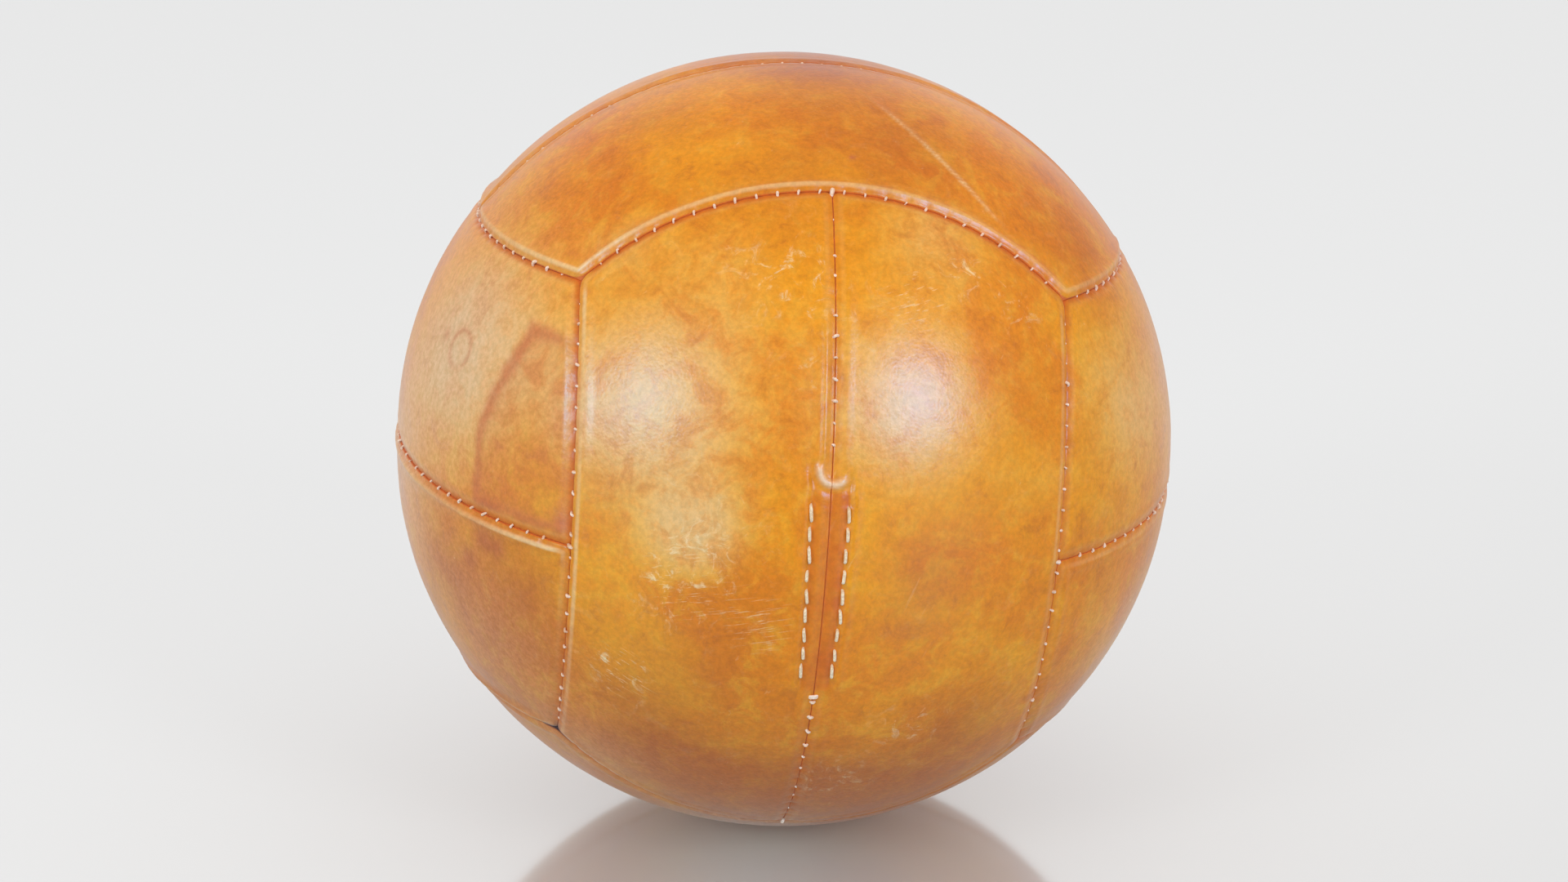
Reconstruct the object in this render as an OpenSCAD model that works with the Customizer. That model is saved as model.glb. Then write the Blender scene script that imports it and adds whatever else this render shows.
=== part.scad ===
// Stuffed leather medicine ball, sewn from twelve panels.
//
// The panels follow the faces of a cube blown up into a ball. Each of the six faces is
// split in two by a middle seam, and the three pairs of middle seams lie at right angles.
// The twelve edge seams are arcs of circles about the X, Y and Z axes.
// Every panel has its edges turned in, and each seam is sewn through the two turned edges.
// The origin is the centre of the ball. +Z is up, and the front face looks along -Y.

/* [Ball] */
// Outside diameter of the stuffed ball
ball_d = 280; // [260:5:320]

/* [Leather] */
// Thickness of the hide
leather_t = 2.4; // [2:0.1:2.6]
// Depth of the turned-in edges, measured from the outside of the ball
turn_in = 10; // [9:0.5:12]
// Width of the groove along a seam, at the outside of the ball
groove_w = 5; // [4:0.2:6]
// Depth of the groove along a seam
groove_depth = 4.2; // [4:0.1:5]

/* [Sewing] */
// Distance from one stitch to the next
stitch_pitch = 7; // [6.5:0.5:9]
// Width of the flat waxed thread
thread_w = 1.4; // [1:0.1:1.4]
// Depth of the middle of the stitches below the outside of the ball
stitch_depth = 3.4; // [3.4:0.1:3.6]

/* [Filling slit] */
// Height of the upper end of the slit above the middle of the front face, along the seam
slit_top = 29; // [24:1:32]
// Depth of the lower end of the slit below the middle of the front face, along the seam
slit_bottom = 38; // [32:1:40]
// Distance from the slit to each row of stitches, at the upper end
row_offset_top = 6.3; // [6:0.1:7]
// Distance from the slit to each row of stitches, at the lower end
row_offset_bottom = 5.0; // [4.8:0.1:5.6]
// Number of long stitches in each row
row_stitches = 9; // [6:1:9]
// Length of each long stitch
long_stitch = 5; // [4:0.5:5.5]

/* [Inside] */
// Thickness of the canvas lining
lining_t = 1; // [0.8:0.1:1.2]
// Thickness of the layer of wadding under the lining
wadding_t = 18; // [14:1:30]

/* [Hidden] */
$fn = 144;
ball_r = ball_d / 2;
// The edge seams stand at this latitude on the axis that they circle
EDGE_LAT = asin(1 / sqrt(3));
MIDDLE_LAT = 0;
// Half of the arc that an edge seam and a middle seam cover, about their axis
EDGE_HALF_ARC = 45;
MIDDLE_HALF_ARC = 90 - EDGE_LAT;
// Size of the blocks and cones that cut the pieces, well past the outside of the ball
reach = ball_r + 10;

// Half of the gap between two turned-in edges that are sewn together
seam_gap = 0.15;
// Room left between pieces that lie on each other, and round a thread in its hole
ease = 0.2;
// Room between a thread and the turned edge or strip that it is drawn down on
thread_ease = 0.05;
flange_inner = seam_gap + leather_t;
shell_inner_r = ball_r - leather_t;
flange_end_r = ball_r - turn_in;
stitch_r = ball_r - stitch_depth;

// The part of the thread that runs from stitch to stitch along the back of each turned edge
run_start = flange_inner + thread_ease;
run_w = 0.7;
run_h = thread_w + 0.2;
run_tail = 1.4;
run_end = run_start + run_w;
// Half of the gap in an edge seam's run of thread where a middle seam butts against it
run_gap = 2.9;
// Half of the length of a hole that a stitch goes through, across its seam
hole_half_length = flange_inner + 0.6;
// Distance from a crossing middle seam to the first stitch of an edge seam
first_stitch = 4;
// Distance from the end of a seam to its last stitch
last_stitch = 6.8;

lining_inset = run_end + ease;
lining_r = shell_inner_r - ease;
wadding_inset = lining_inset + ease;
wadding_r = lining_r - lining_t - ease;
core_r = wadding_r - wadding_t;

// The filling slit
slit_length = slit_top + slit_bottom;
// How far the strips behind the slit reach past its ends, and how far its rows stop short of them
slit_margin = 3;
row_margin = 2;
row_pitch = (slit_length - 2 * row_margin) / row_stitches;
facing_t = 2;
facing_w = 11;
facing_r = shell_inner_r - ease;
long_stitch_w = 1.7;
leg_w = 1.2;
inner_bar_r = facing_r - facing_t - long_stitch_w / 2 - thread_ease;
outer_bar_r = ball_r - ease;
lace_w = 2.2;
lace_r = ball_r - 6.8;
lace_pitch = 9;
lace_run_w = 1.2;
lace_run_h = 2.6;
lace_tail = 1.8;
lace_bottom = -slit_bottom + 6;
lace_top = slit_top - 5;
lace_places = [for (u = [lace_bottom : lace_pitch : lace_top]) u];
knot_d = 6;
knot_place = slit_top + 5;
tongue_t = 2;
tongue_w = 24;
tongue_r = flange_end_r - ease;
wrap_r = tongue_r - tongue_t - ease;
tongue_margin = 8;
pocket_half_w = tongue_w / 2 + 1;
pocket_margin = tongue_margin + 2;
tack_half_w = 2;
tack_place = -slit_bottom - 5;
tack_w = 1.2;
tack_leg_w = 0.8;
tack_depth = 4;

LEATHER = [0.80, 0.52, 0.18];
LEATHER_DARK = [0.70, 0.38, 0.14];
CANVAS = [0.78, 0.72, 0.58];
THREAD = [0.93, 0.89, 0.78];
FELT = [0.55, 0.50, 0.44];
HAIR = [0.33, 0.27, 0.21];

// Each panel: its name, the direction that its face looks, and its side of the middle seam
PANELS = [
    ["front_left", [0, -1, 0], [-1, 0, 0]],
    ["front_right", [0, -1, 0], [1, 0, 0]],
    ["back_left", [0, 1, 0], [-1, 0, 0]],
    ["back_right", [0, 1, 0], [1, 0, 0]],
    ["left_upper", [-1, 0, 0], [0, 0, 1]],
    ["left_lower", [-1, 0, 0], [0, 0, -1]],
    ["right_upper", [1, 0, 0], [0, 0, 1]],
    ["right_lower", [1, 0, 0], [0, 0, -1]],
    ["top_front", [0, 0, 1], [0, -1, 0]],
    ["top_back", [0, 0, 1], [0, 1, 0]],
    ["bottom_front", [0, 0, -1], [0, -1, 0]],
    ["bottom_back", [0, 0, -1], [0, 1, 0]]
];

// Each edge seam: its name, the axis that it circles, and the direction of its middle
EDGE_SEAMS = [
    ["front_top", [0, -1, 0], [0, 0, 1]],
    ["front_bottom", [0, -1, 0], [0, 0, -1]],
    ["back_top", [0, 1, 0], [0, 0, 1]],
    ["back_bottom", [0, 1, 0], [0, 0, -1]],
    ["front_left", [-1, 0, 0], [0, -1, 0]],
    ["front_right", [1, 0, 0], [0, -1, 0]],
    ["back_left", [-1, 0, 0], [0, 1, 0]],
    ["back_right", [1, 0, 0], [0, 1, 0]],
    ["left_top", [0, 0, 1], [-1, 0, 0]],
    ["left_bottom", [0, 0, -1], [-1, 0, 0]],
    ["right_top", [0, 0, 1], [1, 0, 0]],
    ["right_bottom", [0, 0, -1], [1, 0, 0]]
];

// Each unbroken middle seam: its name, the axis that it circles, and the face that it is on
MIDDLE_SEAMS = [
    ["back_middle", [-1, 0, 0], [0, 1, 0]],
    ["left_middle", [0, 0, 1], [-1, 0, 0]],
    ["right_middle", [0, 0, 1], [1, 0, 0]],
    ["top_middle", [0, 1, 0], [0, 0, 1]],
    ["bottom_middle", [0, 1, 0], [0, 0, -1]]
];

SLIT_NODES = [
    "seam_thread_front_middle_upper", "seam_thread_front_middle_lower",
    "slit_facing_left", "slit_facing_right", "slit_tongue",
    "slit_stitches_left", "slit_stitches_right", "slit_end_tack", "closing_lace"
];

// ---- Places -------------------------------------------------------------------------

function degrees_of(length, radius) = length / radius * 180 / PI;
function seam_circle_r(lat) = ball_r * cos(lat);
// Middles of the stitches of a seam, as distances from its middle, for one half
function stitch_places(first, half_length) =
    [for (u = [first : stitch_pitch : half_length - last_stitch]) u];

edge_half_length = EDGE_HALF_ARC * PI / 180 * seam_circle_r(EDGE_LAT);
middle_half_length = MIDDLE_HALF_ARC * PI / 180 * ball_r;
edge_stitches = stitch_places(first_stitch, edge_half_length);
middle_stitches = stitch_places(stitch_pitch / 2, middle_half_length);
upper_stitches = [for (u = middle_stitches) if (u > slit_top + 2 * last_stitch) u];
lower_stitches = [for (u = middle_stitches) if (u > slit_bottom + 2 * last_stitch) u];

// Turns +Z towards one axis of the ball and +X towards another
module towards(z_to, x_to) {
    y_to = cross(z_to, x_to);
    multmatrix([for (i = [0 : 2]) [x_to[i], y_to[i], z_to[i], 0]]) children();
}

// A ring about +Z whose section is drawn with X outwards and Y across the seam
module seam_ring(lat, from = -180, to = 180) {
    rotate([0, 0, from]) rotate_extrude(angle = to - from) rotate(lat) children();
}

// A block on a seam that circles +Z: its middle and its length along the seam, its lowest and
// highest distance from the centre of the ball, and its extent across the seam
module seam_block(lat, u, along, from_r, to_r, from_s, to_s) {
    ring_r = seam_circle_r(lat);
    seam_ring(lat, degrees_of(u - along / 2, ring_r), degrees_of(u + along / 2, ring_r))
        translate([from_r, from_s]) square([to_r - from_r, to_s - from_s]);
}

// One stitch straight across a seam
module cross_stitch(lat, u, r, w, half_length) {
    seam_block(lat, u, w, r - w / 2, r + w / 2, -half_length, half_length);
}

// ---- Panels and linings -------------------------------------------------------------

module edge_cone(inset) {
    translate([0, 0, inset / cos(EDGE_LAT)])
        cylinder(h = reach, r1 = 0, r2 = reach / tan(EDGE_LAT));
}

// The part of a hollow ball inside the four seams of one panel, kept a distance from each seam.
// The face looks along +X, and the panel lies above its middle seam.
module panel_patch(outer_r, inner_r, inset) {
    difference() {
        intersection() {
            difference() {
                sphere(outer_r);
                sphere(inner_r);
            }
            translate([0, -reach, inset]) cube([reach, 2 * reach, reach]);
            towards([1, 0, 0], [0, 0, -1]) edge_cone(inset);
        }
        edge_cone(-inset);
    }
}

// Section of the groove that two rolled edges leave between them, carried past the outside
module groove_section() {
    lip = 1;
    half_w = groove_w / 2 * (1 + lip / groove_depth);
    polygon([[ball_r + lip, -half_w], [ball_r + lip, half_w], [ball_r - groove_depth, 0]]);
}

// Cuts the groove of one seam out of a panel. The cut runs a little past the ends of the seam.
module grooved(lat, from, to, axis = [0, 0, 1], middle = [1, 0, 0]) {
    spill = 6;
    difference() {
        children();
        towards(axis, middle) seam_ring(lat, from - spill, to + spill) groove_section();
    }
}

// Holes for the stitches of one seam
module stitch_holes(lat, places) {
    for (u = places) cross_stitch(lat, u, stitch_r, thread_w + ease, hole_half_length);
}

// The skin of a panel, with its edges turned in along all four seams
module panel_skin() {
    spill = 1;
    difference() {
        panel_patch(ball_r, flange_end_r, seam_gap);
        panel_patch(shell_inner_r, flange_end_r - spill, flange_inner);
    }
}

module grooved_skin() {
    face = [1, 0, 0];
    grooved(EDGE_LAT, -EDGE_HALF_ARC, 0, face, [0, -1, 0])
        grooved(EDGE_LAT, 0, EDGE_HALF_ARC, face, [0, 1, 0])
            grooved(EDGE_LAT, -EDGE_HALF_ARC, EDGE_HALF_ARC)
                grooved(MIDDLE_LAT, -MIDDLE_HALF_ARC, MIDDLE_HALF_ARC) panel_skin();
}

module panel_blank(middle_holes) {
    difference() {
        grooved_skin();
        stitch_holes(EDGE_LAT, both_ways(edge_stitches));
        towards([1, 0, 0], [0, 1, 0]) stitch_holes(EDGE_LAT, edge_stitches);
        towards([1, 0, 0], [0, -1, 0]) stitch_holes(EDGE_LAT, -edge_stitches);
        stitch_holes(MIDDLE_LAT, middle_holes);
    }
}

function both_ways(places) = concat(places, -places);

module plain_panel(face, side) {
    color(LEATHER) towards(side, face) panel_blank(both_ways(middle_stitches));
}

// A front panel also has the holes of the slit: the row of long stitches, the lace and the tack
module slit_panel(face, side) {
    up = side[0] < 0 ? 1 : -1;
    color(LEATHER) towards(side, face) difference() {
        panel_blank(concat(up * upper_stitches, -up * lower_stitches));
        for (n = [0 : row_stitches - 1]) {
            long_stitch_legs(n, up, leg_w + ease, reach);
            long_stitch_bar(n, up, outer_bar_r, long_stitch_w + ease);
        }
        for (u = lace_places)
            cross_stitch(MIDDLE_LAT, up * u, lace_r, lace_w + ease, hole_half_length);
        lace_knot(up, knot_d + 2 * ease);
        end_tack(up, ease);
    }
}

module panel(p) {
    if (p[0] == "front_left" || p[0] == "front_right") slit_panel(p[1], p[2]);
    else plain_panel(p[1], p[2]);
}

module lining_blank(face, side) {
    color(CANVAS) towards(side, face) panel_patch(lining_r, lining_r - lining_t, lining_inset);
}

// The window that the front linings leave round the slit
module slit_window(half_w, margin, r_from) {
    z_top = ball_r * sin(degrees_of(slit_top + margin, ball_r));
    z_bottom = ball_r * sin(degrees_of(slit_bottom + margin, ball_r));
    difference() {
        translate([-half_w, -reach, -z_bottom])
            cube([2 * half_w, reach, z_bottom + z_top]);
        sphere(r_from);
    }
}

module lining(p) {
    difference() {
        lining_blank(p[1], p[2]);
        if (p[0] == "front_left" || p[0] == "front_right")
            slit_window(facing_w + ease, slit_margin + ease, core_r);
    }
}

// ---- Seam threads -------------------------------------------------------------------

// The run of thread from stitch to stitch, behind one of the two turned edges
module thread_run(lat, side, from, to, r, w, h) {
    ring_r = seam_circle_r(lat);
    seam_ring(lat, degrees_of(from, ring_r), degrees_of(to, ring_r))
        translate([r - h / 2, side > 0 ? run_start : -run_start - w]) square([h, w]);
}

// Each stitch ends inside the runs of thread on its two sides
module thread_stitches(lat, places) {
    for (u = places) cross_stitch(lat, u, stitch_r, thread_w, run_start + run_w / 2);
}

// Thread of an edge seam. A middle seam butts against it from above, so its run is parted there.
module edge_thread(axis, middle) {
    last = edge_stitches[len(edge_stitches) - 1] + run_tail;
    color(THREAD) towards(axis, middle) union() {
        thread_stitches(EDGE_LAT, both_ways(edge_stitches));
        thread_run(EDGE_LAT, -1, -last, last, stitch_r, run_w, run_h);
        thread_run(EDGE_LAT, 1, run_gap, last, stitch_r, run_w, run_h);
        thread_run(EDGE_LAT, 1, -last, -run_gap, stitch_r, run_w, run_h);
    }
}

// Thread of a middle seam, or of one stretch of it
module middle_thread(axis, face, places) {
    color(THREAD) towards(axis, face) union() {
        thread_stitches(MIDDLE_LAT, places);
        for (side = [-1, 1])
            thread_run(MIDDLE_LAT, side, min(places) - run_tail, max(places) + run_tail,
                stitch_r, run_w, run_h);
    }
}

// ---- Filling slit -------------------------------------------------------------------

// The slit's pieces stand on the front middle seam: outwards is -Y and along the seam is +Z
module on_front() {
    towards([-1, 0, 0], [0, -1, 0]) children();
}

function row_place(n) = -slit_bottom + row_margin + (n + 0.5) * row_pitch;
function row_offset(n) =
    row_offset_bottom + (row_offset_top - row_offset_bottom) * n / (row_stitches - 1);

// The two ends of one long stitch, where its thread goes through the leather
module long_stitch_legs(n, up, w, to_r) {
    for (end = [-1, 1])
        seam_block(MIDDLE_LAT, up * row_place(n) + end * long_stitch / 2, w, inner_bar_r, to_r,
            row_offset(n) - w / 2, row_offset(n) + w / 2);
}

module long_stitch_bar(n, up, r, w) {
    seam_block(MIDDLE_LAT, up * row_place(n), long_stitch + w, r - w / 2, r + w / 2,
        row_offset(n) - w / 2, row_offset(n) + w / 2);
}

// One row of long stitches. Each stitch is a closed loop through the leather and its facing.
module slit_stitches(side) {
    color(THREAD) mirror([side > 0 ? 1 : 0, 0, 0]) on_front()
        for (n = [0 : row_stitches - 1]) {
            long_stitch_legs(n, 1, leg_w, outer_bar_r);
            long_stitch_bar(n, 1, outer_bar_r, long_stitch_w);
            long_stitch_bar(n, 1, inner_bar_r, long_stitch_w);
        }
}

// Leather strip behind one edge of the slit, held by the row of long stitches
module slit_facing(side) {
    color(LEATHER_DARK) mirror([side > 0 ? 1 : 0, 0, 0]) difference() {
        intersection() {
            sphere(facing_r);
            slit_window(facing_w, slit_margin, facing_r - facing_t);
            translate([-facing_w, -reach, -reach]) cube([facing_w - lining_inset, reach, 2 * reach]);
        }
        on_front() for (n = [0 : row_stitches - 1]) long_stitch_legs(n, 1, leg_w + ease, reach);
    }
}

// Loose leather tongue that keeps the filling away from the slit
module slit_tongue() {
    color(LEATHER_DARK) intersection() {
        sphere(tongue_r);
        slit_window(tongue_w / 2, tongue_margin, tongue_r - tongue_t);
    }
}

module lace_knot(up, d) {
    rotate([0, 0, degrees_of(up * knot_place, ball_r)]) translate([lace_r, 0, 0]) sphere(d = d);
}

// Lace that draws the two edges of the slit together, with its knot at the upper end
module closing_lace() {
    color(THREAD) on_front() union() {
        for (u = lace_places)
            cross_stitch(MIDDLE_LAT, u, lace_r, lace_w, run_start + lace_run_w / 2);
        for (side = [-1, 1])
            thread_run(MIDDLE_LAT, side, lace_bottom - lace_tail, knot_place,
                lace_r, lace_run_w, lace_run_h);
        lace_knot(1, knot_d);
    }
}

// Short stitch across the lower end of the slit, thickened by the play of its holes
module end_tack(up, play) {
    w = tack_w + play;
    leg_w = tack_leg_w + play;
    seam_block(MIDDLE_LAT, up * tack_place, w, ball_r - w / 2, ball_r + w / 2,
        -tack_half_w - w / 2, tack_half_w + w / 2);
    for (side = [-1, 1])
        seam_block(MIDDLE_LAT, up * tack_place, leg_w, ball_r - tack_depth - play, ball_r,
            side * tack_half_w - leg_w / 2, side * tack_half_w + leg_w / 2);
}

module slit_end_tack() {
    color(THREAD) on_front() end_tack(1, 0);
}

// ---- Filling ------------------------------------------------------------------------

// A pad of wadding behind each lining. The front pads leave room for the slit's inner pieces.
module wadding_pads() {
    color(FELT) difference() {
        for (p = PANELS)
            towards(p[2], p[1]) panel_patch(wadding_r, wrap_r + ease, wadding_inset);
        slit_window(pocket_half_w, pocket_margin, core_r);
    }
}

// Layer of wadding wrapped round the core
module wadding_wrap() {
    color(FELT) difference() {
        sphere(wrap_r);
        sphere(core_r);
    }
}

// Core of tightly packed hair and rags
module filling_core() {
    color(HAIR) sphere(core_r - ease);
}

// ---- Nodes --------------------------------------------------------------------------

for (p = PANELS) panel(p);
for (p = PANELS) lining(p);
for (s = EDGE_SEAMS) edge_thread(s[1], s[2]);
for (s = MIDDLE_SEAMS)
    middle_thread(s[1], s[2], both_ways(middle_stitches));
middle_thread([-1, 0, 0], [0, -1, 0], upper_stitches);  // seam_thread_front_middle_upper
middle_thread([-1, 0, 0], [0, -1, 0], -lower_stitches);  // seam_thread_front_middle_lower
slit_facing(-1);  // slit_facing_left
slit_facing(1);  // slit_facing_right
slit_tongue();
slit_stitches(-1);  // slit_stitches_left
slit_stitches(1);  // slit_stitches_right
slit_end_tack();
closing_lace();
wadding_pads();
wadding_wrap();
filling_core();
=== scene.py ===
import math

import bpy
import numpy as np
from mathutils import Matrix, Vector


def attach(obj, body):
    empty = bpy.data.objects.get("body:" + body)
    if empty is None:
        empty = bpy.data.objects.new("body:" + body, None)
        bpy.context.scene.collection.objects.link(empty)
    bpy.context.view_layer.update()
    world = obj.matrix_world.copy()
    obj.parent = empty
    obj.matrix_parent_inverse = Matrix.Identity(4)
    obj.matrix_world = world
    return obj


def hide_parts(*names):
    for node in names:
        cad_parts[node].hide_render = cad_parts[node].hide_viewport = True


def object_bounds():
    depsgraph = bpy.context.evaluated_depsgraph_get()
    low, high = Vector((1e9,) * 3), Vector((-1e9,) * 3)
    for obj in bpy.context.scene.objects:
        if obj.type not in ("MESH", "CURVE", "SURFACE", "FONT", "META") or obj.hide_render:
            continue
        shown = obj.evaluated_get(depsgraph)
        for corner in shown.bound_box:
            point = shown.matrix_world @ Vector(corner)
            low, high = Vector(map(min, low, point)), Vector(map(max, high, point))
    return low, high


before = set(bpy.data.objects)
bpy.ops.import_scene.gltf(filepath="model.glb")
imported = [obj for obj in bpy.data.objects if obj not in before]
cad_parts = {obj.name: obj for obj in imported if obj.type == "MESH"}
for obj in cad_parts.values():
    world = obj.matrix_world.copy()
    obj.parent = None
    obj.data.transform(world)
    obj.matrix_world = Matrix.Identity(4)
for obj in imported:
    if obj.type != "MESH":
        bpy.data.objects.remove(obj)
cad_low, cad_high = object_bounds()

MM = 0.001
BODY = "root"

# ---- The ball's pattern ---------------------------------------------------------------------
# Each face of a cube, blown up into a ball, is split in two by a middle seam. The edge seams
# stand at EDGE_LAT on the axes that they circle.

BALL_R = (cad_high[0] - cad_low[0]) / 2 / MM
EDGE_LAT = math.asin(1 / math.sqrt(3))
FACE_HALF = math.pi / 2 - EDGE_LAT
EDGE_HALF_ARC = math.pi / 4
EDGE_RING_R = BALL_R * math.cos(EDGE_LAT)
LEATHER_T = 2.4
TURN_IN = 10.0
SEAM_GAP = 0.03

FRONT, BACK = (0, -1, 0), (0, 1, 0)
LEFT, RIGHT = (-1, 0, 0), (1, 0, 0)
TOP, BOTTOM = (0, 0, 1), (0, 0, -1)

# name: (the direction that its face looks, its side of the middle seam, its rank). At a seam
# the edge of the higher-ranked panel stands proud of the other.
PANELS = {
    "front_left": (FRONT, LEFT, 3),
    "front_right": (FRONT, RIGHT, 3),
    "back_left": (BACK, LEFT, 3),
    "back_right": (BACK, RIGHT, 3),
    "left_upper": (LEFT, TOP, 1),
    "left_lower": (LEFT, BOTTOM, 2.5),
    "right_upper": (RIGHT, TOP, 2.5),
    "right_lower": (RIGHT, BOTTOM, 2.9),
    "top_front": (TOP, FRONT, 4),
    "top_back": (TOP, BACK, 4),
    "bottom_front": (BOTTOM, FRONT, 1),
    "bottom_back": (BOTTOM, BACK, 1),
}

# name: (the axis that the seam circles, the direction of its middle)
EDGE_SEAMS = {
    "front_top": (FRONT, TOP),
    "front_bottom": (FRONT, BOTTOM),
    "back_top": (BACK, TOP),
    "back_bottom": (BACK, BOTTOM),
    "front_left": (LEFT, FRONT),
    "front_right": (RIGHT, FRONT),
    "back_left": (LEFT, BACK),
    "back_right": (RIGHT, BACK),
    "left_top": (TOP, LEFT),
    "left_bottom": (BOTTOM, LEFT),
    "right_top": (TOP, RIGHT),
    "right_bottom": (BOTTOM, RIGHT),
}
MIDDLE_SEAMS = {
    "back_middle": (LEFT, BACK),
    "left_middle": (TOP, LEFT),
    "right_middle": (TOP, RIGHT),
    "top_middle": (BACK, TOP),
    "bottom_middle": (BACK, BOTTOM),
}
STITCH_PITCH = 7.0
FIRST_EDGE_STITCH = 4.0
LAST_STITCH = 6.8

# The filling slit, as lengths up the front middle seam from the middle of the front face
SLIT_TOP = 29.0
SLIT_BOTTOM = -38.0
ROW_TOP = 6.3
ROW_BOTTOM = 5.0
ROW_STITCHES = 9
ROW_MARGIN = 2.0
ROW_PITCH = (SLIT_TOP - SLIT_BOTTOM - 2 * ROW_MARGIN) / ROW_STITCHES
TACK_AT = -43.0
LIP_AT = 37.5
LIP_R = 4.6


def turn(z_to, x_to):
    """The matrix that turns +Z towards one axis of the ball and +X towards another."""
    z, x = np.array(z_to, float), np.array(x_to, float)
    return np.column_stack([x, np.cross(z, x), z])


def place(azimuth, elevation):
    """The direction of a place on the ball."""
    az, el = math.radians(azimuth), math.radians(elevation)
    return np.array([math.sin(az) * math.cos(el), -math.cos(az) * math.cos(el), math.sin(el)])


def panel_at(d):
    """The rank of the panel that each direction falls in."""
    edge = math.sin(EDGE_LAT)
    rank = np.zeros(len(d))
    axis_of = {FRONT: 1, BACK: 1, LEFT: 0, RIGHT: 0, TOP: 2, BOTTOM: 2}
    inner_of = {1: 0, 0: 2, 2: 1}
    for face, side, pride in PANELS.values():
        axis = axis_of[face]
        inside = (d @ np.array(face) >= edge) & (np.abs(d[:, inner_of[axis]]) <= edge)
        inside &= d @ np.array(side) >= 0
        rank[inside] = pride
    return rank


# ---- Noise ----------------------------------------------------------------------------------

def hashed(i, j, k, seed):
    """A number from -1 to 1 for each lattice point."""
    h = (i * 374761393 + j * 668265263 + k * 2147483647 + seed * 1274126177) & 0xFFFFFFFF
    h = ((h ^ (h >> 13)) * 1103515245) & 0xFFFFFFFF
    h = (h ^ (h >> 16)) & 0xFFFFFFFF
    return h / 2147483647.5 - 1


def noise(p, scale, seed=0):
    """Smooth value noise from -1 to 1 at points p (n, 3), with features about scale across."""
    q = p / scale
    base = np.floor(q).astype(np.int64)
    f = q - base
    f = f * f * f * (f * (f * 6 - 15) + 10)
    total = np.zeros(len(p))
    for corner in np.ndindex(2, 2, 2):
        weight = np.prod(np.where(corner, f, 1 - f), axis=1)
        total += weight * hashed(*(base + corner).T, seed)
    return total


def layered_noise(p, scale, layers, seed):
    total = sum(noise(p, scale / 2**k, seed + k) / 2**k for k in range(layers))
    return total / (2 - 0.5 ** (layers - 1))


def smooth(x, low, high):
    """0 below low, 1 above high, and a smooth step between."""
    t = np.clip((x - low) / (high - low), 0, 1)
    return t * t * (3 - 2 * t)


def bell(x, width):
    return np.exp(-((x / width) ** 2))


# ---- Stitch places --------------------------------------------------------------------------

def stitch_places(first, half_length):
    count = int((half_length - LAST_STITCH - first) / STITCH_PITCH) + 1
    places = first + STITCH_PITCH * np.arange(count)
    return np.concatenate([-places[::-1], places])


edge_places = stitch_places(FIRST_EDGE_STITCH, EDGE_HALF_ARC * EDGE_RING_R)
middle_places = stitch_places(STITCH_PITCH / 2, FACE_HALF * BALL_R)
upper_places = middle_places[middle_places > SLIT_TOP + 2 * LAST_STITCH]
lower_places = middle_places[middle_places < SLIT_BOTTOM - LAST_STITCH]


# ---- Panel relief ---------------------------------------------------------------------------

def row_offset(along):
    """How far a row of long stitches stands from the slit."""
    t = (along - SLIT_BOTTOM) / (SLIT_TOP - SLIT_BOTTOM)
    return ROW_BOTTOM + (ROW_TOP - ROW_BOTTOM) * np.clip(t, 0, 1)


def nearest(places, x):
    """How far each x is from the nearest of places."""
    return np.min(np.abs(places[:, None] - x[None, :]), axis=0)


def patch_directions(u, v, inset):
    """Directions on a panel that looks along +X above its middle seam. u runs from -1 to 1
    along the middle seam and v from 0 to 1 away from it, inside the seams by inset."""
    lat = inset / BALL_R + v * (EDGE_LAT - 2 * inset / BALL_R)
    side = np.arccos(np.cos(FACE_HALF - inset / BALL_R) / np.cos(lat))
    az = u * side
    return np.stack([np.cos(lat) * np.cos(az), np.cos(lat) * np.sin(az), np.sin(lat)], -1)


def rounded_corner(a, b, radius):
    """Distance to the nearer of two seams, with the corner between them rounded."""
    near_a, near_b = np.maximum(radius - a, 0), np.maximum(radius - b, 0)
    both = (near_a > 0) & (near_b > 0)
    return np.where(both, radius - np.hypot(near_a, near_b), np.minimum(a, b))


class Seams:
    """Where each point of a panel lies against the panel's middle, far and side seams."""

    def __init__(self, local, matrix, stitches_of_middle):
        x, y, z = local.T
        lat = np.arcsin(np.clip(z, -1, 1))
        off_face = np.arccos(np.clip(x, -1, 1))
        self.distance = [BALL_R * lat, BALL_R * (EDGE_LAT - lat), BALL_R * (FACE_HALF - off_face)]
        self.along = [
            np.arctan2(y, x) * BALL_R,
            np.arctan2(y, x) * EDGE_RING_R,
            np.arctan2(z, np.abs(y)) * EDGE_RING_R,
        ]
        self.stitches = [stitches_of_middle, edge_places, edge_places]
        far_lat = 2 * EDGE_LAT - lat
        off = 2 * FACE_HALF - off_face
        yz = np.hypot(y, z)
        ratio = np.cos(far_lat) / np.cos(lat)
        # the mirror image of each point across each seam, which lies on the neighbouring panel
        across = [
            np.stack([x, y, -z], -1),
            np.stack([x * ratio, y * ratio, np.sin(far_lat)], -1),
            np.stack([np.cos(off), np.sin(off) * y / yz, np.sin(off) * z / yz], -1),
        ]
        own = panel_at(local @ matrix.T)
        self.pride = [np.clip(own - panel_at(a @ matrix.T), -1, 1) for a in across]
        near = rounded_corner(self.distance[0], self.distance[1], CORNER_R)
        self.nearest = rounded_corner(near, self.distance[2], CORNER_R)

    def blend(self, values):
        """One value per seam, mixed by how near each seam is."""
        weights = [bell(np.maximum(d - self.nearest, 0), 3.5) for d in self.distance]
        return sum(w * v for w, v in zip(weights, values)) / sum(weights)


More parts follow.
